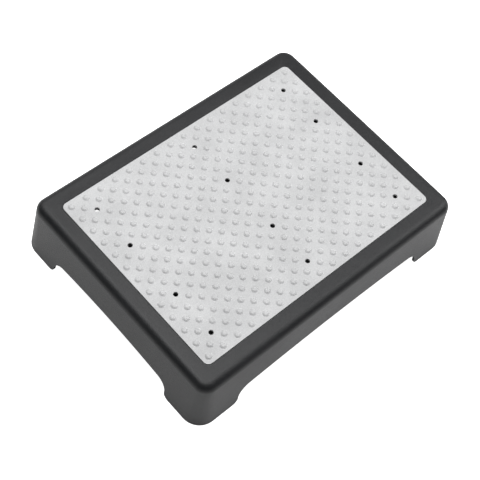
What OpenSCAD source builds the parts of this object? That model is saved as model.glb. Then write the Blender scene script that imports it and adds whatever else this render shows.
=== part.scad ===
// Half step: a low moulded platform that halves the rise of a doorstep.
// The origin is on the floor under the middle of the step, +X along its long side,
// -Y towards its front edge and +Z up. Sizes are in millimetres.

/* [Step body] */
// Width along the long side, across the outer faces at the foot of the walls
step_w = 500; // [410:1:620]
// Depth from front to back, across the outer faces at the foot of the walls
step_d = 380; // [310:1:470]
// Height of the flat border above the floor
deck_z = 97.5; // [78:0.5:120]
// Lean of the outer walls from upright, in degrees
draft = 5.5; // [2:0.1:7]
// Corner radius of the plan outline at the foot of the walls
corner_r = 28.5; // [25:0.5:45]
// Radius of the rounded shoulder between the border and the walls
shoulder_r = 13.5; // [8:0.5:15]
// Thickness of the outer walls
wall_t = 3.5; // [2.5:0.1:5]
// Thickness of the deck under the mat
deck_t = 4; // [3:0.1:6]
// Gap between the foot of the walls and the floor, which the foot pads fill
wall_lift = 1.5; // [0.5:0.1:3]

/* [Legs and arches] */
// Length of each leg along the long sides
leg_w = 73.7; // [60:0.5:90]
// Length of each leg along the short sides
leg_d = 70; // [60:0.5:90]
// Height of the long arches beside the legs, above the foot of the walls
long_arch_h = 31; // [26:0.1:40]
// Height of the short arches beside the legs, above the foot of the walls
short_arch_h = 30.5; // [26:0.1:40]
// Extra height of the long arches at mid-span
long_crown = 5; // [2:0.1:10]
// Extra height of the short arches at mid-span
short_crown = 4; // [2:0.1:10]
// Radius of the hollow curve between a leg and its arch
arch_r = 20; // [12:0.5:22]
// Radius of the rounded lower corner of a leg
leg_corner_r = 10; // [4:0.5:12]

/* [Ribs] */
// Thickness of the ribs and of the inner leg walls
rib_t = 2.5; // [1.8:0.1:4]
// Depth of the ribs below the deck
rib_drop = 26; // [15:1:32]
// Diameter of the screw posts in the legs
post_d = 16; // [12:0.5:20]

/* [Tread mat] */
// Width of the flat border from the mat recess to the shoulder
border_w = 15.4; // [10:0.5:30]
// Thickness of the mat sheet
mat_t = 3.2; // [2.5:0.1:5]
// Height of the mat sheet above the border
mat_proud = 0.7; // [0.2:0.1:1.5]
// Clearance round the mat in its recess
mat_gap = 0.6; // [0.2:0.1:1.5]
// Corner radius of the mat
mat_corner_r = 8; // [4:0.5:14]
// Spacing of the domes along the long side
dome_pitch = 25.25; // [20:0.1:30]
// Spacing of the rows of domes from front to back
row_pitch = 11.87; // [10:0.1:16]
// Diameter of a dome at the mat's surface
dome_d = 9.2; // [6:0.1:10]
// Height of a dome
dome_h = 1.8; // [1:0.1:2.5]
// Least distance from a dome's centre to the mat's edge
dome_edge = 8; // [6:0.5:14]

/* [Drain holes and mat pegs] */
// Diameter of the drain holes in the mat
drain_d = 7; // [5:0.1:8]
// Extra diameter of the drain holes in the deck under the mat
drain_relief = 1; // [0:0.1:2]
// Rows from the middle row to the inner rows of drain holes, an even number
drain_inner_row = 4; // [2:2:6]
// Diameter of the mat's retaining pegs
peg_d = 6; // [4:0.1:7]
// Diameter of the barbed head of a peg
peg_head_d = 8.6; // [7:0.1:10]
// Height of the barbed head of a peg
peg_head_h = 5; // [3:0.1:7]

/* [Foot pads and screws] */
// Clearance round a foot pad in the mouth of its leg
pad_gap = 0.8; // [0.5:0.1:1.5]
// Depth that a foot pad reaches into its leg
pad_seat = 4; // [3:0.1:6]
// Diameter of the raised hub of a foot pad
hub_d = 20; // [16:0.5:24]
// Height of the hub above the pad's plate
hub_h = 3; // [2:0.1:5]
// Clearance round the hub
hub_gap = 0.5; // [0.3:0.1:1]
// Radius of the pad's corners beside the inner leg walls
pad_corner_r = 6; // [3:0.5:10]
// Width of a grip groove under a foot pad
groove_w = 2; // [1:0.1:3]
// Spacing of the grip grooves
groove_pitch = 7; // [5:0.5:10]
// Depth of a grip groove
groove_depth = 1.2; // [0.5:0.1:1.5]
// Diameter of the screw's thread
screw_d = 4; // [3:0.1:5]
// Length of the screw under its head
screw_len = 18; // [14:0.5:24]
// Diameter of the screw's head
head_d = 8; // [6:0.1:10]
// Height of the screw's head
head_h = 2.6; // [2:0.1:3]
// Distance from the floor to the screw's head
head_lift = 1.8; // [1:0.1:2.5]
// Clearance round the screw's head in the foot pad
head_gap = 0.8; // [0.4:0.1:1.5]

/* [Hidden] */
$fn = 48;
plastic = [0.10, 0.10, 0.105];
mat_grey = [0.80, 0.81, 0.82];
pad_rubber = [0.16, 0.16, 0.165];
steel = [0.72, 0.72, 0.74];
spare = 20;          // how far a large cut runs past what it cuts
bite = 1;            // how far a joined shape or a small cut runs into its neighbour
crown_steps = 12;    // straight pieces in each half of an arch's shallow crown
first_groove = 2;    // grip grooves on each side of a foot pad's middle line, the
last_groove = 3;     // ones nearer to the screw being left out
screw_tip_gap = 2;   // room beyond the screw's point in its post
half_w = step_w / 2;
half_d = step_d / 2;
shoulder_z = deck_z - shoulder_r;
// distance from the foot of a wall in to the edge of the flat border
shoulder_in = (shoulder_r + (shoulder_z - wall_lift) * sin(draft)) / cos(draft);
recess_w = 2 * (half_w - shoulder_in - border_w);
recess_d = 2 * (half_d - shoulder_in - border_w);
mat_w = recess_w - 2 * mat_gap;
mat_d = recess_d - 2 * mat_gap;
mat_top_z = deck_z + mat_proud;
recess_z = mat_top_z - mat_t;
ceiling_z = recess_z - deck_t;
rib_z = ceiling_z - rib_drop;
pad_seat_z = wall_lift + pad_seat;
hub_z = pad_seat_z + hub_h;
// domes stand in rows; every other row is shifted by half a pitch
cols = floor((mat_w / 2 - dome_edge) / dome_pitch);
rows = floor((mat_d / 2 - dome_edge) / row_pitch);
dome_sphere_r = (dome_d * dome_d / 4 + dome_h * dome_h) / (2 * dome_h);
// drain holes take the place of domes, one column and at least two rows in from the edge
drain_cols = [-(cols - 1), 0, cols - 1];
drain_outer_row = 2 * floor((rows - 2) / 2);
drain_rows = [-drain_outer_row, -drain_inner_row, drain_inner_row, drain_outer_row];
// inner faces of the leg boxes stand clear of the rounded leg corners
leg_x = half_w - leg_w + leg_corner_r;
leg_y = half_d - leg_d + leg_corner_r;
post_x = (leg_x + rib_t + half_w - wall_t) / 2;
post_y = (leg_y + rib_t + half_d - wall_t) / 2;
// ribs across the width stand midway between the drain columns and the pegs
rib_pitch = (cols - 1) * dome_pitch / 4;
rib_xs = [for (x = [rib_pitch / 2 : rib_pitch : leg_x - rib_pitch / 2]) x];
rib_y = (drain_outer_row + drain_inner_row) / 2 * row_pitch;
peg_x = 2 * rib_pitch;

// half of the section across a wall: upright line at 0, drafted wall at half, rounded shoulder
module half_section(half, low, top, shoulder) {
    centre_z = top - shoulder;
    centre_x = half - (shoulder + (centre_z - wall_lift) * sin(draft)) / cos(draft);
    foot_x = half + (wall_lift - low) * tan(draft);
    tangent = [centre_x + shoulder * cos(draft), centre_z + shoulder * sin(draft)];
    polygon([[0, low], [foot_x, low], tangent, [centre_x, centre_z], [centre_x, top], [0, top]]);
    intersection() {
        translate([centre_x, centre_z]) circle(shoulder);
        polygon([
            [centre_x, centre_z], tangent, tangent + [0, shoulder],
            [centre_x, centre_z + 2 * shoulder]
        ]);
    }
}

module full_section(half, low, top, shoulder) {
    half_section(half, low, top, shoulder);
    mirror([1, 0]) half_section(half, low, top, shoulder);
}

// drafted block with rounded corners and a rounded shoulder, set in by inset from the outer skin
module drafted_block(inset, low, top) {
    w = half_w - inset;
    d = half_d - inset;
    r = corner_r - inset;
    shoulder = shoulder_r - inset;
    rotate([90, 0, 0])
        linear_extrude(2 * (d - r), center = true) full_section(w, low, top, shoulder);
    rotate([90, 0, 90])
        linear_extrude(2 * (w - r), center = true) full_section(d, low, top, shoulder);
    for (corner = [[1, 1, 0], [-1, 1, 90], [-1, -1, 180], [1, -1, 270]])
        translate([corner[0] * (w - r), corner[1] * (d - r), 0])
            rotate(corner[2])
                rotate_extrude(angle = 90) half_section(r, low, top, shoulder);
}

module rounded_outline(w, d, r) {
    square([w, d - 2 * r], center = true);
    square([w - 2 * r, d], center = true);
    for (x = [-1, 1], y = [-1, 1])
        translate([x * (w / 2 - r), y * (d / 2 - r)]) circle(r);
}

// outline of an arch: a crowned top, hollow curves beside the legs and flared lower corners
module arch_outline(half, side_h, crown) {
    hollow_r = min(arch_r, side_h - leg_corner_r);
    hollow = [half - hollow_r, wall_lift + side_h - hollow_r];
    flare = [half + leg_corner_r, wall_lift + leg_corner_r];
    crown_line = [
        for (k = [crown_steps : -1 : -crown_steps])
            let (u = k / crown_steps) [u * hollow[0], hollow[1] + hollow_r + crown * (1 - u * u)]
    ];
    difference() {
        polygon(concat(
            [[-flare[0], -spare], [flare[0], -spare], flare, [half, flare[1]], [half, hollow[1]], hollow],
            crown_line,
            [[-hollow[0], hollow[1]], [-half, hollow[1]], [-half, flare[1]], [-flare[0], flare[1]]]
        ));
        for (side = [-1, 1]) translate([side * flare[0], flare[1]]) circle(leg_corner_r);
    }
    for (side = [-1, 1]) scale([side, 1]) translate(hollow) intersection() {
        circle(hollow_r);
        square(hollow_r);
    }
}

// the arches are cut through the four walls only, clear of the ribs and the leg boxes
module arch_cuts() {
    depth = wall_t + 2 * spare;
    for (side = [-1, 1]) {
        translate([0, side * (half_d - wall_t / 2), 0]) rotate([90, 0, 0])
            linear_extrude(depth, center = true)
                arch_outline(half_w - leg_w, long_arch_h, long_crown);
        translate([side * (half_w - wall_t / 2), 0, 0]) rotate([90, 0, 90])
            linear_extrude(depth, center = true)
                arch_outline(half_d - leg_d, short_arch_h, short_crown);
    }
}

module upright_plate(x, y, size_x, size_y, low) {
    translate([x, y, low]) cube([size_x, size_y, ceiling_z + bite - low]);
}

// ribs under the deck, continued down as the inner walls of the leg boxes
module ribs() {
    for (side = [-1, 1]) {
        for (x = rib_xs) upright_plate(side * x - rib_t / 2, -half_d, rib_t, step_d, rib_z);
        upright_plate(side * (leg_x + rib_t / 2) - rib_t / 2, -half_d, rib_t, step_d, rib_z);
        upright_plate(side * post_x - rib_t / 2, -half_d, rib_t, step_d, rib_z);
        upright_plate(-half_w, side * rib_y - rib_t / 2, step_w, rib_t, rib_z);
        upright_plate(-half_w, side * post_y - rib_t / 2, step_w, rib_t, rib_z);
    }
    upright_plate(-half_w, -rib_t / 2, step_w, rib_t, rib_z);
    for (x = [-1, 1], y = [-1, 1]) scale([x, y, 1]) leg_box();
}

module leg_box() {
    reach_x = half_w - leg_x;
    reach_y = half_d - leg_y;
    upright_plate(leg_x, leg_y, rib_t, reach_y, -spare);
    upright_plate(leg_x, leg_y, reach_x, rib_t, -spare);
    upright_plate(post_x - rib_t / 2, leg_y, rib_t, reach_y, pad_seat_z);
    upright_plate(leg_x, post_y - rib_t / 2, reach_x, rib_t, pad_seat_z);
    translate([post_x, post_y, pad_seat_z]) cylinder(d = post_d, h = ceiling_z + bite - pad_seat_z);
}

module at_drains() {
    for (i = drain_cols, j = drain_rows) translate([i * dome_pitch, j * row_pitch, 0]) children();
}

module at_pegs() {
    for (side = [-1, 1], j = drain_rows) translate([side * peg_x, j * row_pitch, 0]) children();
}

module at_posts() {
    for (x = [-1, 1], y = [-1, 1]) translate([x * post_x, y * post_y, 0]) children();
}

module step_body() {
    color(plastic) difference() {
        drafted_block(0, wall_lift, deck_z);
        difference() {
            drafted_block(wall_t, -spare, ceiling_z);
            ribs();
        }
        arch_cuts();
        translate([0, 0, recess_z])
            linear_extrude(spare) rounded_outline(recess_w, recess_d, mat_corner_r + mat_gap);
        at_drains() translate([0, 0, rib_z]) cylinder(d = drain_d + drain_relief, h = spare + rib_drop);
        at_pegs() translate([0, 0, rib_z]) cylinder(d = peg_d, h = spare + rib_drop);
        at_posts() cylinder(d = hub_d + 2 * hub_gap, h = hub_z);
        at_posts() cylinder(d = screw_d, h = head_lift + head_h + screw_len + screw_tip_gap);
    }
}

module dome() {
    intersection() {
        translate([0, 0, dome_h - dome_sphere_r]) sphere(dome_sphere_r);
        translate([-dome_d, -dome_d, -mat_t / 2]) cube([2 * dome_d, 2 * dome_d, mat_t + dome_h]);
    }
}

module domes() {
    for (j = [-rows : rows], i = [-cols : cols]) {
        shift = abs(j) % 2 / 2;
        kept = i + shift <= cols;
        drained = len(search(i, drain_cols)) > 0 && len(search(j, drain_rows)) > 0;
        if (kept && !drained) translate([(i + shift) * dome_pitch, j * row_pitch, 0]) dome();
    }
}

module peg() {
    translate([0, 0, ceiling_z]) cylinder(d = peg_d, h = recess_z - ceiling_z + bite);
    translate([0, 0, ceiling_z - peg_head_h])
        cylinder(d1 = peg_d / 2, d2 = peg_head_d, h = peg_head_h);
}

module tread_mat() {
    color(mat_grey) difference() {
        union() {
            translate([0, 0, recess_z]) linear_extrude(mat_t) rounded_outline(mat_w, mat_d, mat_corner_r);
            translate([0, 0, mat_top_z]) domes();
            at_pegs() peg();
        }
        at_drains() translate([0, 0, recess_z - bite]) cylinder(d = drain_d, h = mat_t + 2 * bite);
    }
}

// outline of a foot pad: the mouth of a leg box, set in by the pad's clearance
module pad_outline() {
    low = [leg_x + rib_t + pad_gap, leg_y + rib_t + pad_gap];
    inset = wall_t + pad_gap + pad_seat * tan(draft);
    intersection() {
        rounded_outline(2 * (half_w - inset), 2 * (half_d - inset), corner_r - inset);
        translate([low[0] + half_w / 2, low[1] + half_d / 2])
            rounded_outline(half_w, half_d, pad_corner_r);
    }
}

module foot_pad(side_x, side_y) {
    color(pad_rubber) scale([side_x, side_y, 1]) difference() {
        union() {
            linear_extrude(pad_seat_z) pad_outline();
            translate([post_x, post_y, 0]) cylinder(d = hub_d, h = hub_z);
        }
        for (side = [-1, 1], k = [first_groove : last_groove])
            translate([post_x + side * k * groove_pitch - groove_w / 2, 0, -bite])
                cube([groove_w, half_d, groove_depth + bite]);
        translate([post_x, post_y, -bite])
            cylinder(d = head_d + 2 * head_gap, h = bite + head_lift + head_h);
        translate([post_x, post_y, 0]) cylinder(d = screw_d, h = hub_z + bite);
    }
}

module screw() {
    drive_w = head_d / 8;
    drive_l = head_d / 2;
    difference() {
        union() {
            translate([0, 0, head_lift]) cylinder(d1 = head_d - head_h, d2 = head_d, h = head_h / 2);
            translate([0, 0, head_lift + head_h / 2]) cylinder(d = head_d, h = head_h / 2);
            translate([0, 0, head_lift + head_h]) cylinder(d = screw_d, h = screw_len - screw_d);
            translate([0, 0, head_lift + head_h + screw_len - screw_d])
                cylinder(d1 = screw_d, d2 = screw_d / 4, h = screw_d);
        }
        for (turn = [0, 90]) rotate(turn)
            translate([-drive_l / 2, -drive_w / 2, head_lift - bite])
                cube([drive_l, drive_w, bite + head_h / 2]);
    }
}

module foot_screws() {
    color(steel) at_posts() screw();
}

step_body();
tread_mat();
foot_pad(-1, -1);  // foot_front_left
foot_pad(1, -1);  // foot_front_right
foot_pad(-1, 1);  // foot_back_left
foot_pad(1, 1);  // foot_back_right
foot_screws();
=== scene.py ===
import bpy
import bmesh
import math
from mathutils import Matrix, Vector


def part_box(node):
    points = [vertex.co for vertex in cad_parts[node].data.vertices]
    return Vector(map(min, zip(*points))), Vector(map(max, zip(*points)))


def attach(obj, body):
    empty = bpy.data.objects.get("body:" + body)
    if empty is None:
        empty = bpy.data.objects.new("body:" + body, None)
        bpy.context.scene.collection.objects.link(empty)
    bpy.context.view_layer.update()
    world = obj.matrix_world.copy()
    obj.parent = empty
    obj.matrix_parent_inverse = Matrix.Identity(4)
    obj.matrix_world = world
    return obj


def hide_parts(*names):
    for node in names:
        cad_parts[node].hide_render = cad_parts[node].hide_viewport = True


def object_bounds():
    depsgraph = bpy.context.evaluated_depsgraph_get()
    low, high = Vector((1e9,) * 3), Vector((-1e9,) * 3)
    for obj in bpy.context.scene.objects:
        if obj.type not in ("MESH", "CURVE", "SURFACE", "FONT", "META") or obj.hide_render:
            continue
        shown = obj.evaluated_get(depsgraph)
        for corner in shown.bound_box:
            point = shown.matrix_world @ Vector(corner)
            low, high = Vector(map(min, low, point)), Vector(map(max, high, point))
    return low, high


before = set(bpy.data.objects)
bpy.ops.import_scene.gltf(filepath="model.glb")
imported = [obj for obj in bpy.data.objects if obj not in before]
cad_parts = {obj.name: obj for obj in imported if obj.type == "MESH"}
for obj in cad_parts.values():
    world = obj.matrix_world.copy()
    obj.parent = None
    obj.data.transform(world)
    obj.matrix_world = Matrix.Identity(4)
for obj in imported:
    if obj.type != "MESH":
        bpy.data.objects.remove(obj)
cad_low, cad_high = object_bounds()

# A half step: a low moulded platform with a domed rubber tread mat, four rubber foot
# pads and the screws that hold them. Sizes are in metres, and +Z is up.
MM = 0.001

# Tread mat: rows of domes, every other row shifted by half a pitch
DOME_PITCH = 25.25 * MM
ROW_PITCH = 11.87 * MM
DOME_COLS = 17
DOME_ROWS = 13
DOME_HALF_R = 3.8 * MM
DOME_FOOT_R = 5.3 * MM
DOME_H = 1.8 * MM
DOME_STEEPNESS = 8.0
DOME_CROWN_SHARE = 0.34
DOME_SINK = 0.15 * MM
DOME_SIDES = 14
DOME_FOOT_GAP = 0.01 * MM
MAT_T = 3.2 * MM
MAT_CORNER_R = 8 * MM
MAT_EDGE = 0.7 * MM
MAT_RIM_ANGLE = math.radians(60)
MAT_SHADE_ANGLE = math.radians(50)
MAT_MERGE = 0.001 * MM
DRAIN_R = 3.5 * MM
DRAIN_X = 7 * DOME_PITCH
DRAIN_INNER_Y = 4 * ROW_PITCH
DRAIN_OUTER_Y = 10 * ROW_PITCH
DRAIN_CLEARING = 0.25

# Pegs that hold the mat down through the deck
PEG_X = 3.5 * DOME_PITCH
PEG_R = 3 * MM
PEG_HEAD_R = 4.3 * MM
PEG_HEAD_H = 5 * MM
DECK_T = 4 * MM

# Screws
HEAD_R = 4 * MM
HEAD_H = 2.6 * MM
SLOT_W = 1 * MM
SLOT_L = 4 * MM
SHANK_R = 1.55 * MM
SHANK_L = 14 * MM
TIP_L = 4 * MM
TIP_POINT_SHARE = 0.3
THREAD_PITCH = 1.4 * MM
THREAD_H = 0.43 * MM
THREAD_END_SHARE = 0.45
THREAD_RUN_OUT = 0.8
SCREW_SHADE_ANGLE = math.radians(40)

# Rounding of the moulded edges
BODY_EDGE = 0.5 * MM
PAD_EDGE = 0.4 * MM
SHARP_ANGLE = math.radians(30)
FLAT_ANGLE = math.radians(0.2)
MOULDED_MERGE = 0.002 * MM

# Studio
FLOOR_REACH = 60.0
FLOOR_DROP = 0.1 * MM
FLOOR_GLOW = 0.28
# Painted light that only the camera sees on the floor round the step, hiding the step's shadow
FLOOR_PAINTED_FILL = 1.0
SKY_POWER = 0.1
LENS_LENGTH = 86
CAMERA_AZIMUTH = -54.6
CAMERA_ELEVATION = 57.6
CAMERA_ROLL = 14.8
CAMERA_DISTANCE = 1.571
CAMERA_TARGET = Vector((-0.052, -0.037, 0.098))


# ---- Building node trees ----

def add(tree, kind, inputs=None, **settings):
    """Adds a node. Inputs are given by name or number, as plain values or as sockets to link."""
    node = tree.nodes.new(kind)
    for name, value in settings.items():
        setattr(node, name, value)
    for name, value in (inputs or {}).items():
        if isinstance(value, bpy.types.NodeSocket):
            tree.links.new(value, node.inputs[name])
        else:
            node.inputs[name].default_value = value
    return node


def calc(tree, operation, *values):
    """Adds a Math node and returns its result."""
    node = add(tree, "ShaderNodeMath", dict(enumerate(values)), operation=operation)
    return node.outputs[0]


def times(tree, value, factor):
    """Multiplies a value by a factor."""
    return calc(tree, "MULTIPLY", value, factor)


def geometry_tree(name, sizes):
    """An empty Geometry Nodes tree with one named length input for each of sizes."""
    tree = bpy.data.node_groups.new(name, "GeometryNodeTree")
    tree.interface.new_socket("Geometry", in_out="OUTPUT", socket_type="NodeSocketGeometry")
    for size in sizes:
        tree.interface.new_socket(size, in_out="INPUT", socket_type="NodeSocketFloat")
    given = add(tree, "NodeGroupInput")
    return tree, given.outputs


def close_tree(tree, geometry, material):
    """Ends a tree in Realize Instances and Set Material."""
    real = add(tree, "GeometryNodeRealizeInstances", {"Geometry": geometry})
    finished = add(tree, "GeometryNodeSetMaterial", {"Geometry": real.outputs[0], "Material": material})
    end = add(tree, "NodeGroupOutput")
    tree.links.new(finished.outputs[0], end.inputs[0])


def joined(tree, *parts):
    """Joins pieces of geometry."""
    node = add(tree, "GeometryNodeJoinGeometry")
    for part in parts:
        tree.links.new(part, node.inputs[0])
    return node.outputs[0]


def moved(tree, geometry, x=0.0, y=0.0, z=0.0):
    """Moves geometry by numbers or sockets."""
    offset = add(tree, "ShaderNodeCombineXYZ", {"X": x, "Y": y, "Z": z})
    inputs = {"Geometry": geometry, "Translation": offset.outputs[0]}
    return add(tree, "GeometryNodeTransform", inputs).outputs[0]


def bake(name, tree, sizes):
    """Runs a tree with the given sizes and keeps its result as a plain mesh object."""
    maker = bpy.data.objects.new(name + "_maker", bpy.data.meshes.new(name + "_maker"))
    bpy.context.collection.objects.link(maker)
    modifier = maker.modifiers.new("Tree", "NODES")
    modifier.node_group = tree
    for socket in tree.interface.items_tree:
        if socket.in_out == "INPUT" and socket.name in sizes:
            modifier[socket.identifier] = sizes[socket.name]
    depsgraph = bpy.context.evaluated_depsgraph_get()
    mesh = bpy.data.meshes.new_from_object(maker.evaluated_get(depsgraph))
    maker.modifiers.remove(modifier)
    bpy.data.objects.remove(maker)
    piece = bpy.data.objects.new(name, mesh)
    bpy.context.collection.objects.link(piece)
    return piece


def smooth_shade(piece, angle):
    """Shades a piece smoothly, but for edges sharper than angle."""
    piece.data.shade_smooth()
    piece.data.set_sharp_from_angle(angle=angle)


def soften(piece, width):
    """Rounds the sharp edges and shades the rest smoothly."""
    smooth_shade(piece, SHARP_ANGLE)
    bevel = piece.modifiers.new("Rounded edges", "BEVEL")
    bevel.width = width
    bevel.segments = 2
    bevel.limit_method = "ANGLE"
    bevel.angle_limit = SHARP_ANGLE
    bevel.use_clamp_overlap = True
    bevel.harden_normals = True


# ---- Materials ----

def material(name):
    """A node material, with its surface shader and its pattern coordinates."""
    made = bpy.data.materials.new(name)
    made.use_nodes = True
    tree = made.node_tree
    tree.nodes.clear()
    shader = add(tree, "ShaderNodeBsdfPrincipled")
    end = add(tree, "ShaderNodeOutputMaterial")
    tree.links.new(shader.outputs[0], end.inputs["Surface"])
    place = add(tree, "ShaderNodeTexCoord").outputs["Object"]
    return made, tree, shader, place


def noise(tree, place, scale, detail=2.0, roughness=0.5):
    """Noise that runs from 0 to 1, with scale in cells per metre."""
    inputs = {"Vector": place, "Scale": scale, "Detail": detail, "Roughness": roughness}
    return add(tree, "ShaderNodeTexNoise", inputs).outputs["Fac"]


def spread(tree, value, low, high, new_low, new_high):
    """Maps one range onto another."""
    inputs = {"Value": value, "From Min": low, "From Max": high, "To Min": new_low, "To Max": new_high}
    return add(tree, "ShaderNodeMapRange", inputs).outputs["Result"]


def tint(tree, value, dark, light):
    """Runs from one colour to another as value goes from 0 to 1."""
    mix = add(tree, "ShaderNodeMix", data_type="RGBA")
    tree.links.new(value, mix.inputs[0])
    mix.inputs[6].default_value = (*dark, 1)
    mix.inputs[7].default_value = (*light, 1)
    return mix.outputs[2]


def bumps(tree, shader, *layers):
    """Stacks bumps, each given as a height from 0 to 1 and how deep that is."""
    normal = None
    for height, depth in layers:
        inputs = {"Height": height, "Distance": depth, "Strength": 1.0}
        bump = add(tree, "ShaderNodeBump", inputs)
        if normal:
            tree.links.new(normal, bump.inputs["Normal"])
        normal = bump.outputs[0]
    tree.links.new(normal, shader.inputs["Normal"])


def grained_plastic():
    """Charcoal plastic with a fine spark-eroded grain and a soft sheen."""
    made, tree, shader, place = material("body_plastic")
    grain = add(tree, "ShaderNodeTexVoronoi", {"Vector": place, "Scale": 1100.0}).outputs["Distance"]
    fine = noise(tree, place, 1000.0, 4.0, 0.7)
    flow = noise(tree, place, 9.0, 4.0)
    tone = spread(tree, calc(tree, "ADD", flow, times(tree, fine, 1.5)), 0.95, 1.55, 0.0, 1.0)
    colour = tint(tree, tone, (0.0075, 0.0079, 0.0090), (0.0170, 0.0174, 0.0190))
    tree.links.new(colour, shader.inputs["Base Color"])
    tree.links.new(spread(tree, flow, 0.3, 0.7, 0.37, 0.43), shader.inputs["Roughness"])
    shader.inputs["Specular IOR Level"].default_value = 0.43
    bumps(tree, shader, (grain, 0.12 * MM), (fine, 0.10 * MM))
    return made


def mat_rubber():
    """Light grey rubber with a fine matt skin."""
    made, tree, shader, place = material("mat_rubber")
    skin = noise(tree, place, 800.0, 4.0, 0.7)
    cloud = noise(tree, place, 25.0, 3.0)
    mottle = calc(tree, "ADD", times(tree, cloud, 0.3), times(tree, skin, 0.7))
    tone = spread(tree, mottle, 0.38, 0.62, 0.0, 1.0)
    colour = tint(tree, tone, (0.49, 0.492, 0.495), (0.65, 0.652, 0.655))
    tree.links.new(colour, shader.inputs["Base Color"])
    tree.links.new(spread(tree, skin, 0.3, 0.7, 0.42, 0.58), shader.inputs["Roughness"])
    shader.inputs["Specular IOR Level"].default_value = 0.5
    bumps(tree, shader, (skin, 0.05 * MM))
    return made


def pad_rubber():
    """Black rubber with a dull, slightly dusty skin."""
    made, tree, shader, place = material("pad_rubber")
    skin = noise(tree, place, 900.0, 5.0, 0.65)
    cloud = noise(tree, place, 60.0, 3.0)
    tone = spread(tree, times(tree, cloud, skin), 0.15, 0.35, 0.0, 1.0)
    colour = tint(tree, tone, (0.014, 0.014, 0.015), (0.034, 0.034, 0.035))
    tree.links.new(colour, shader.inputs["Base Color"])
    tree.links.new(spread(tree, skin, 0.3, 0.7, 0.62, 0.8), shader.inputs["Roughness"])
    bumps(tree, shader, (skin, 0.08 * MM))
    return made


def zinc_steel():
    """Zinc-plated steel with faint turning marks."""
    made, tree, shader, place = material("screw_steel")
    marks = add(tree, "ShaderNodeMapping", {"Vector": place, "Scale": (1.0, 1.0, 12.0)}).outputs[0]
    scuffs = noise(tree, marks, 400.0, 4.0, 0.6)
    colour = tint(tree, scuffs, (0.50, 0.50, 0.49), (0.66, 0.67, 0.68))
    tree.links.new(colour, shader.inputs["Base Color"])
    tree.links.new(spread(tree, scuffs, 0.3, 0.7, 0.28, 0.42), shader.inputs["Roughness"])
    shader.inputs["Metallic"].default_value = 1.0
    bumps(tree, shader, (scuffs, 0.02 * MM))
    return made


def floor_paper():
    """Plain pale paper that glows all round the step, as on a light table, but not beneath it. Camera
    rays also see painted light on it from 20 mm inside the step's outline outwards, which hides the
    step's shadow there.
    """
    made, tree, shader, place = material("floor_paper")
    axes = add(tree, "ShaderNodeSeparateXYZ", {"Vector": place}).outputs
    beyond_x = calc(tree, "SUBTRACT", calc(tree, "ABSOLUTE", axes[0]), cad_high[0])
    beyond_y = calc(tree, "SUBTRACT", calc(tree, "ABSOLUTE", axes[1]), cad_high[1])
    beyond = calc(tree, "MAXIMUM", beyond_x, beyond_y)
    near = spread(tree, beyond, -20 * MM, 10 * MM, 0.0, FLOOR_GLOW)
    glow = times(tree, near, spread(tree, beyond, 200 * MM, 700 * MM, 1.0, 0.0))
    # Painted light: camera rays alone see the floor brighter from 20 mm inside the step's outline
    # outwards, which hides the step's cast shadow beside its walls.
    painted_shadow_fill = spread(tree, beyond, -50 * MM, -20 * MM, 0.0, FLOOR_PAINTED_FILL)
    seen = times(tree, painted_shadow_fill, add(tree, "ShaderNodeLightPath").outputs["Is Camera Ray"])
    tree.links.new(calc(tree, "ADD", glow, seen), shader.inputs["Emission Strength"])
    fibre = noise(tree, place, 300.0, 3.0)
    colour = tint(tree, fibre, (0.88, 0.88, 0.88), (0.90, 0.90, 0.90))
    tree.links.new(colour, shader.inputs["Base Color"])
    shader.inputs["Roughness"].default_value = 0.9
    shader.inputs["Specular IOR Level"].default_value = 0.1
    shader.inputs["Emission Color"].default_value = (1, 1, 1, 1)
    return made


PLASTIC = grained_plastic()
MAT_RUBBER = mat_rubber()
PAD_RUBBER = pad_rubber()
STEEL = zinc_steel()


# ---- Tread mat ----

def lattice(tree, width, depth, columns, rows):
    """A grid of points centred on the origin."""
    inputs = {"Size X": width, "Size Y": depth, "Vertices X": columns, "Vertices Y": rows}
    return add(tree, "GeometryNodeMeshGrid", inputs).outputs["Mesh"]


def scattered(tree, points, instance):
    """Puts a copy of instance on each point."""
    inputs = {"Points": points, "Instance": instance}
    return add(tree, "GeometryNodeInstanceOnPoints", inputs).outputs[0]


def hole_points(tree, given):
    """Three columns and four rows of drain holes, closer together towards the edges."""
    width = times(tree, given["Drain column"], 2.0)
    rows = [times(tree, given[name], 2.0) for name in ("Inner drain row", "Outer drain row")]
    return joined(tree, *[lattice(tree, width, depth, 3, 2) for depth in rows])


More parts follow.
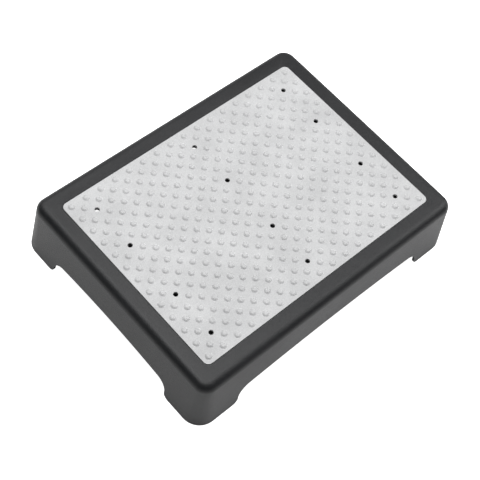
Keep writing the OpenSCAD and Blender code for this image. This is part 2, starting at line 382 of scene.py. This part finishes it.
def mat_sheet(tree, given, holes):
    """A flat sheet with rounded corners and its drain holes, its top at z = 0."""
    outline = add(tree, "GeometryNodeCurvePrimitiveQuadrilateral", {
        "Width": given["Width"],
        "Height": given["Depth"],
    })
    rounded = add(tree, "GeometryNodeFilletCurve", {
        "Curve": outline.outputs[0],
        "Radius": given["Corner radius"],
    }, mode="POLY")
    rounded.inputs["Count"].default_value = 10
    rim = add(tree, "GeometryNodeCurvePrimitiveCircle", {
        "Resolution": 32,
        "Radius": given["Drain radius"],
    })
    circles = scattered(tree, holes, rim.outputs[0])
    rims = add(tree, "GeometryNodeRealizeInstances", {"Geometry": circles})
    curves = joined(tree, rounded.outputs[0], rims.outputs[0])
    face = add(tree, "GeometryNodeFillCurve", {"Curve": curves}, mode="NGONS").outputs[0]
    down = times(tree, given["Thickness"], -1.0)
    bottom = moved(tree, face, z=down)
    rise = add(tree, "ShaderNodeCombineXYZ", {"Z": 1.0})
    walls = add(tree, "GeometryNodeExtrudeMesh", {
        "Mesh": bottom,
        "Offset": rise.outputs[0],
        "Offset Scale": given["Thickness"],
        "Individual": False,
    })
    underside = add(tree, "GeometryNodeFlipFaces", {"Mesh": bottom}).outputs[0]
    closed = add(tree, "GeometryNodeMergeByDistance", {
        "Geometry": joined(tree, walls.outputs[0], underside),
        "Distance": MAT_MERGE,
    })
    corner = add(tree, "GeometryNodeInputMeshEdgeAngle").outputs["Unsigned Angle"]
    sharp = calc(tree, "GREATER_THAN", corner, MAT_RIM_ANGLE)
    marked = add(tree, "GeometryNodeStoreNamedAttribute", {
        "Geometry": closed.outputs[0],
        "Name": "bevel_weight_edge",
        "Value": sharp,
    }, data_type="FLOAT", domain="EDGE")
    return marked.outputs[0]


def dome(tree, given):
    """One dome: a bell-shaped button whose foot blends into the sheet."""
    cone = add(tree, "GeometryNodeMeshCone", {
        "Vertices": DOME_SIDES,
        "Side Segments": 4,
        "Radius Top": times(tree, given["Dome half radius"], DOME_CROWN_SHARE),
        "Radius Bottom": given["Dome foot radius"],
        "Depth": given["Dome height"],
    }, fill_type="TRIANGLE_FAN")
    place = add(tree, "GeometryNodeInputPosition").outputs[0]
    axes = add(tree, "ShaderNodeSeparateXYZ", {"Vector": place}).outputs
    squares = [calc(tree, "POWER", axis, 2.0) for axis in (axes[0], axes[1])]
    across = calc(tree, "SQRT", calc(tree, "ADD", *squares))
    share = calc(tree, "DIVIDE", across, given["Dome half radius"])
    fall = calc(tree, "POWER", share, DOME_STEEPNESS)
    bell = calc(tree, "DIVIDE", given["Dome height"], calc(tree, "ADD", fall, 1.0))
    above = calc(tree, "GREATER_THAN", axes[2], DOME_FOOT_GAP)
    sunk = calc(tree, "SUBTRACT", DOME_SINK, times(tree, above, DOME_SINK))
    height = calc(tree, "SUBTRACT", times(tree, bell, above), sunk)
    lifted = add(tree, "ShaderNodeCombineXYZ", {"X": axes[0], "Y": axes[1], "Z": height})
    shaped = add(tree, "GeometryNodeSetPosition", {
        "Geometry": cone.outputs["Mesh"],
        "Position": lifted.outputs[0],
    })
    return shaped.outputs[0]


def dome_points(tree, given, holes):
    """Both sets of dome rows, less the domes that the drain holes replace."""
    pitch, row = given["Dome pitch"], given["Row pitch"]
    sets = []
    for columns, rows in ((DOME_COLS, DOME_ROWS), (DOME_COLS - 1, DOME_ROWS - 1)):
        width = times(tree, pitch, columns - 1.0)
        depth = times(tree, row, 2.0 * (rows - 1))
        sets.append(lattice(tree, width, depth, columns, rows))
    nearest = add(tree, "GeometryNodeProximity", target_element="POINTS")
    tree.links.new(holes, nearest.inputs[0])
    clearing = times(tree, pitch, DRAIN_CLEARING)
    drained = calc(tree, "LESS_THAN", nearest.outputs["Distance"], clearing)
    kept = add(tree, "GeometryNodeDeleteGeometry", {
        "Geometry": joined(tree, *sets),
        "Selection": drained,
    }, domain="POINT")
    return kept.outputs[0]


def mat_peg(tree, given):
    """A peg that passes through the deck and ends in a barbed head, with its root at z = 0."""
    root = times(tree, given["Thickness"], 0.5)
    length = calc(tree, "ADD", root, given["Deck thickness"])
    stem = add(tree, "GeometryNodeMeshCylinder", {
        "Vertices": 24,
        "Radius": given["Peg radius"],
        "Depth": length,
    }, fill_type="NGON")
    middle = calc(tree, "ADD", root, times(tree, length, 0.5))
    stem = moved(tree, stem.outputs["Mesh"], z=times(tree, middle, -1.0))
    barb = add(tree, "GeometryNodeMeshCone", {
        "Vertices": 24,
        "Radius Top": given["Peg head radius"],
        "Radius Bottom": times(tree, given["Peg radius"], 0.5),
        "Depth": given["Peg head height"],
    }, fill_type="NGON")
    reach = calc(tree, "ADD", calc(tree, "ADD", root, length), given["Peg head height"])
    barb = moved(tree, barb.outputs["Mesh"], z=times(tree, reach, -1.0))
    return joined(tree, stem, barb)


def peg_points(tree, given):
    """Two columns of pegs in the rows of the drain holes."""
    width = times(tree, given["Peg column"], 2.0)
    rows = [times(tree, given[name], 2.0) for name in ("Inner drain row", "Outer drain row")]
    return joined(tree, *[lattice(tree, width, depth, 2, 2) for depth in rows])


def make_mat():
    low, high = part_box("tread_mat")
    sizes = {
        "Width": high[0] - low[0],
        "Depth": high[1] - low[1],
        "Thickness": MAT_T,
        "Corner radius": MAT_CORNER_R,
        "Top": high[2] - DOME_H,
        "Dome pitch": DOME_PITCH,
        "Row pitch": ROW_PITCH,
        "Dome height": DOME_H,
        "Dome half radius": DOME_HALF_R,
        "Dome foot radius": DOME_FOOT_R,
        "Drain radius": DRAIN_R,
        "Drain column": DRAIN_X,
        "Inner drain row": DRAIN_INNER_Y,
        "Outer drain row": DRAIN_OUTER_Y,
        "Deck thickness": DECK_T,
        "Peg column": PEG_X,
        "Peg radius": PEG_R,
        "Peg head radius": PEG_HEAD_R,
        "Peg head height": PEG_HEAD_H,
    }
    tree, given = geometry_tree("tread_mat_tree", sizes)
    holes = hole_points(tree, given)
    sheet = mat_sheet(tree, given, holes)
    domes = scattered(tree, dome_points(tree, given, holes), dome(tree, given))
    pegs = scattered(tree, peg_points(tree, given), mat_peg(tree, given))
    everything = moved(tree, joined(tree, sheet, domes, pegs), z=given["Top"])
    close_tree(tree, everything, MAT_RUBBER)
    piece = bake("tread_mat_domed", tree, sizes)
    smooth_shade(piece, MAT_SHADE_ANGLE)
    rim = piece.modifiers.new("Rounded rims", "BEVEL")
    rim.limit_method = "WEIGHT"
    rim.width = MAT_EDGE
    rim.segments = 3
    rim.harden_normals = True
    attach(piece, "root")
    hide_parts("tread_mat")


# ---- Moulded body and foot pads ----

def smooth_copy(node, name, surface, width):
    """A merged copy of a CAD node with rounded edges and smooth curved faces."""
    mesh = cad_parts[node].data.copy()
    mesh.name = name
    shape = bmesh.new()
    shape.from_mesh(mesh)
    bmesh.ops.remove_doubles(shape, verts=shape.verts, dist=MOULDED_MERGE)
    bmesh.ops.dissolve_limit(shape, angle_limit=FLAT_ANGLE, verts=shape.verts, edges=shape.edges)
    shape.to_mesh(mesh)
    shape.free()
    mesh.materials.clear()
    mesh.materials.append(surface)
    piece = bpy.data.objects.new(name, mesh)
    bpy.context.collection.objects.link(piece)
    soften(piece, width)
    return piece


def make_body():
    piece = smooth_copy("step_body", "moulded_body", PLASTIC, BODY_EDGE)
    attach(piece, "root")
    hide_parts("step_body")


def make_pads():
    for end in ("front", "back"):
        for side in ("left", "right"):
            node = f"foot_{end}_{side}"
            piece = smooth_copy(node, f"pad_{end}_{side}", PAD_RUBBER, PAD_EDGE)
            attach(piece, "root")
            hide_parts(node)


# ---- Screws ----

def quarter_round(tree, t):
    """Falls from 1 to 0 along a quarter circle as t goes from 0 to 1."""
    return calc(tree, "SQRT", calc(tree, "SUBTRACT", 1.0, times(tree, t, t)))


def pan_head(tree, given):
    """A pan head with a cross recess, its crown facing down at z = 0."""
    radius, height = given["Head radius"], given["Head height"]
    half = times(tree, height, 0.5)
    blank = add(tree, "GeometryNodeMeshCylinder", {
        "Vertices": 32,
        "Side Segments": 8,
        "Radius": radius,
        "Depth": height,
    }, fill_type="NGON")
    place = add(tree, "GeometryNodeInputPosition").outputs[0]
    axes = add(tree, "ShaderNodeSeparateXYZ", {"Vector": place}).outputs
    below = calc(tree, "MAXIMUM", times(tree, calc(tree, "DIVIDE", axes[2], half), -1.0), 0.0)
    fall = calc(tree, "SUBTRACT", 1.0, quarter_round(tree, calc(tree, "MINIMUM", below, 1.0)))
    taper = calc(tree, "SUBTRACT", 1.0, calc(tree, "DIVIDE", times(tree, fall, half), radius))
    turned = add(tree, "ShaderNodeCombineXYZ", {
        "X": times(tree, axes[0], taper),
        "Y": times(tree, axes[1], taper),
        "Z": axes[2],
    })
    crown = add(tree, "GeometryNodeSetPosition", {
        "Geometry": blank.outputs["Mesh"],
        "Position": turned.outputs[0],
    }).outputs[0]
    bars = []
    for length, width in (("Slot length", "Slot width"), ("Slot width", "Slot length")):
        size = add(tree, "ShaderNodeCombineXYZ", {"X": given[length], "Y": given[width], "Z": height})
        bar = add(tree, "GeometryNodeMeshCube", {"Size": size.outputs[0]}).outputs["Mesh"]
        bars.append(moved(tree, bar, z=times(tree, half, -1.0)))
    recess = add(tree, "GeometryNodeMeshBoolean", operation="DIFFERENCE", solver="EXACT")
    tree.links.new(crown, recess.inputs[0])
    for bar in bars:
        tree.links.new(bar, recess.inputs[1])
    return moved(tree, recess.outputs[0], z=half)


def thread(tree, given, start, end, length, base):
    """A helical ridge that rises from base, its radius running from start to end."""
    helix = add(tree, "GeometryNodeCurveSpiral", {
        "Resolution": 14,
        "Rotations": calc(tree, "DIVIDE", length, given["Thread pitch"]),
        "Start Radius": start,
        "End Radius": end,
        "Height": length,
    })
    ridge = add(tree, "GeometryNodeCurvePrimitiveCircle", {
        "Resolution": 3,
        "Radius": given["Thread height"],
    })
    swept = add(tree, "GeometryNodeCurveToMesh", {
        "Curve": helix.outputs[0],
        "Profile Curve": ridge.outputs[0],
        "Fill Caps": True,
    })
    return moved(tree, swept.outputs[0], z=base)


def screw(tree, given):
    """A self-tapping screw that points up, the crown of its head at z = 0."""
    shank_r, shank_l, tip_l = given["Shank radius"], given["Shank length"], given["Tip length"]
    neck = given["Head height"]
    core = add(tree, "GeometryNodeMeshCylinder", {
        "Vertices": 20,
        "Radius": shank_r,
        "Depth": shank_l,
    }, fill_type="NGON")
    core = moved(tree, core.outputs["Mesh"], z=calc(tree, "ADD", neck, times(tree, shank_l, 0.5)))
    tip = add(tree, "GeometryNodeMeshCone", {
        "Vertices": 20,
        "Radius Top": times(tree, shank_r, TIP_POINT_SHARE),
        "Radius Bottom": shank_r,
        "Depth": tip_l,
    }, fill_type="NGON")
    top = calc(tree, "ADD", neck, shank_l)
    tip = moved(tree, tip.outputs["Mesh"], z=top)
    start = calc(tree, "ADD", neck, given["Thread height"])
    climb = calc(tree, "SUBTRACT", shank_l, given["Thread height"])
    ridge = thread(tree, given, shank_r, shank_r, climb, start)
    run_out = times(tree, tip_l, THREAD_RUN_OUT)
    last_r = times(tree, shank_r, THREAD_END_SHARE)
    last = thread(tree, given, shank_r, last_r, run_out, top)
    return joined(tree, pan_head(tree, given), core, tip, ridge, last)


def make_screws():
    low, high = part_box("foot_screws")
    sizes = {
        "Post column": high[0] - HEAD_R,
        "Post row": high[1] - HEAD_R,
        "Crown": low[2],
        "Head radius": HEAD_R,
        "Head height": HEAD_H,
        "Slot width": SLOT_W,
        "Slot length": SLOT_L,
        "Shank radius": SHANK_R,
        "Shank length": SHANK_L,
        "Tip length": TIP_L,
        "Thread pitch": THREAD_PITCH,
        "Thread height": THREAD_H,
    }
    tree, given = geometry_tree("foot_screws_tree", sizes)
    width = times(tree, given["Post column"], 2.0)
    depth = times(tree, given["Post row"], 2.0)
    posts = lattice(tree, width, depth, 2, 2)
    placed = moved(tree, scattered(tree, posts, screw(tree, given)), z=given["Crown"])
    close_tree(tree, placed, STEEL)
    piece = bake("pad_screws", tree, sizes)
    smooth_shade(piece, SCREW_SHADE_ANGLE)
    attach(piece, "root")
    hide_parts("foot_screws")


# ---- Studio ----

def make_floor():
    mesh = bpy.data.meshes.new("floor")
    corners = [(x * FLOOR_REACH, y * FLOOR_REACH, 0) for x, y in ((-1, -1), (1, -1), (1, 1), (-1, 1))]
    mesh.from_pydata(corners, [], [(0, 1, 2, 3)])
    mesh.materials.append(floor_paper())
    floor = bpy.data.objects.new("floor", mesh)
    floor.location.z = -FLOOR_DROP
    bpy.context.collection.objects.link(floor)


def turned_to(azimuth, elevation):
    """Unit vector from the object towards a point at this azimuth and elevation, in degrees."""
    a, e = math.radians(azimuth), math.radians(elevation)
    return Vector((math.sin(a) * math.cos(e), -math.cos(a) * math.cos(e), math.sin(e)))


def make_light(name, azimuth, elevation, distance, size, power):
    """A square soft box that faces the middle of the step."""
    lamp = bpy.data.lights.new(name, "AREA")
    lamp.shape = "SQUARE"
    lamp.size = size
    lamp.energy = power
    light = bpy.data.objects.new(name, lamp)
    towards = turned_to(azimuth, elevation)
    light.location = towards * distance
    light.rotation_mode = "QUATERNION"
    light.rotation_quaternion = towards.to_track_quat("Z", "Y")
    bpy.context.collection.objects.link(light)


def make_studio():
    world = bpy.data.worlds.new("studio")
    world.use_nodes = True
    sky = world.node_tree.nodes["Background"]
    sky.inputs["Color"].default_value = (0.96, 0.98, 1.0, 1)
    sky.inputs["Strength"].default_value = SKY_POWER
    bpy.context.scene.world = world
    bpy.context.scene.view_settings.view_transform = "Standard"
    make_light("overhead_box", azimuth=200, elevation=84, distance=1.8, size=1.3, power=21)
    make_light("back_box", azimuth=125, elevation=36, distance=2.6, size=2.2, power=8)
    make_light("right_back_box", azimuth=70, elevation=42, distance=2.5, size=1.6, power=25)
    make_light("left_back_box", azimuth=180, elevation=42, distance=2.5, size=1.6, power=15)
    make_floor()


def make_camera():
    lens = bpy.data.cameras.new("camera")
    lens.lens = LENS_LENGTH
    camera = bpy.data.objects.new("camera", lens)
    towards = turned_to(CAMERA_AZIMUTH, CAMERA_ELEVATION)
    camera.location = CAMERA_TARGET + towards * CAMERA_DISTANCE
    turn = towards.to_track_quat("Z", "Y").to_matrix()
    camera.rotation_euler = (turn @ Matrix.Rotation(math.radians(CAMERA_ROLL), 3, "Z")).to_euler()
    bpy.context.collection.objects.link(camera)
    bpy.context.scene.camera = camera


make_mat()
make_body()
make_pads()
make_screws()
make_studio()
make_camera()
